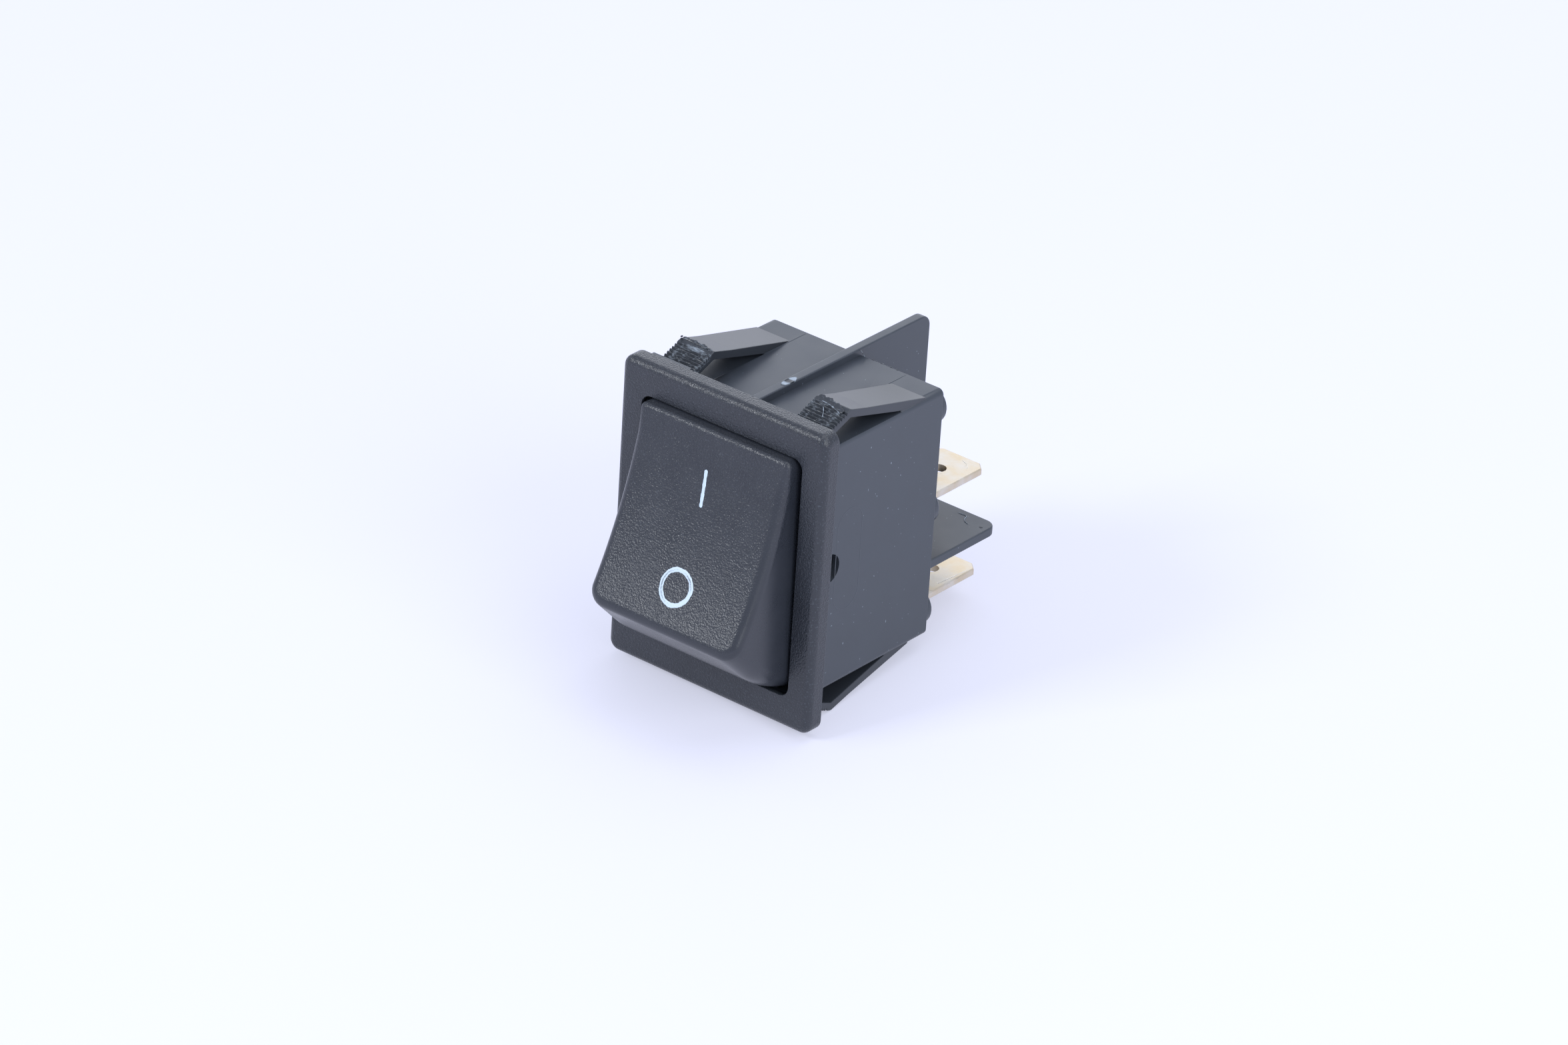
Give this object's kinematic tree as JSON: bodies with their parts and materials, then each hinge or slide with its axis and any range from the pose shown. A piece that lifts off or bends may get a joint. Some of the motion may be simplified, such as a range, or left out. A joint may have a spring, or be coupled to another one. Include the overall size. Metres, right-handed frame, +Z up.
{
  "type": "panel rocker switch",
  "caption": "Rocker switch for a panel: rounded bezel, hollowed rocker marked I and O, ridged snap wings, crossed barriers and flat push-on tabs at the rear.",
  "frame": {"origin": "centre of the rear plane of the bezel, which seats on the panel", "axes": "+X to the right seen from the front, +Y from the panel to the rear, +Z up, towards the end marked I"},
  "size_m": [0.0256, 0.0398, 0.0332],
  "materials": {
    "black_nylon": "satin, fine grain",
    "black_rocker": "sparkling fine texture",
    "silvered_brass": "aged silver plating",
    "contact_silver": "bright",
    "copper_strip": "rolled",
    "white_acetal": "smooth",
    "spring_steel": "drawn wire"
  },
  "bodies": {
    "housing": {"housing": "black_nylon", "common_terminal_left": "silvered_brass", "contact_terminal_left": "silvered_brass", "fixed_contact_left": "contact_silver", "common_terminal_right": "silvered_brass", "contact_terminal_right": "silvered_brass", "fixed_contact_right": "contact_silver"},
    "rocker": {"rocker": "black_rocker", "spring_left": "spring_steel", "spring_right": "spring_steel"},
    "lever_left": {"contact_lever_left": "copper_strip", "moving_contact_left": "contact_silver"},
    "plunger_left": {"plunger_left": "white_acetal"},
    "lever_right": {"contact_lever_right": "copper_strip", "moving_contact_right": "contact_silver"},
    "plunger_right": {"plunger_right": "white_acetal"}
  },
  "joints": [
    {"name": "rocker_pivot", "type": "hinge", "parent": "housing", "child": "rocker", "pos_m": [0, 0.0021, 0], "axis": [1, 0, 0], "range_deg": [0, 41]},
    {"name": "contact_rock_left", "type": "hinge", "parent": "housing", "child": "lever_left", "pos_m": [-0.0056, 0.0124, 0], "axis": [1, 0, 0], "range_deg": [-14, 0]},
    {"name": "plunger_slide_left", "type": "slide", "parent": "rocker", "child": "plunger_left", "axis": [0, -0.9367, 0.3502], "range_m": [0, 0.0008], "stiffness_N_per_m": 200, "springref_m": -0.0015, "deforming": ["spring_left"]},
    {"name": "contact_rock_right", "type": "hinge", "parent": "housing", "child": "lever_right", "pos_m": [0.0056, 0.0124, 0], "axis": [1, 0, 0], "range_deg": [-14, 0]},
    {"name": "plunger_slide_right", "type": "slide", "parent": "rocker", "child": "plunger_right", "axis": [0, -0.9367, 0.3502], "range_m": [0, 0.0008], "stiffness_N_per_m": 200, "springref_m": -0.0015, "deforming": ["spring_right"]}
  ],
  "couplings": [
    {"joint": "contact_rock_left", "follows": "rocker_pivot", "ratio": -0.34146},
    {"joint": "contact_rock_right", "follows": "rocker_pivot", "ratio": -0.34146}
  ]
}
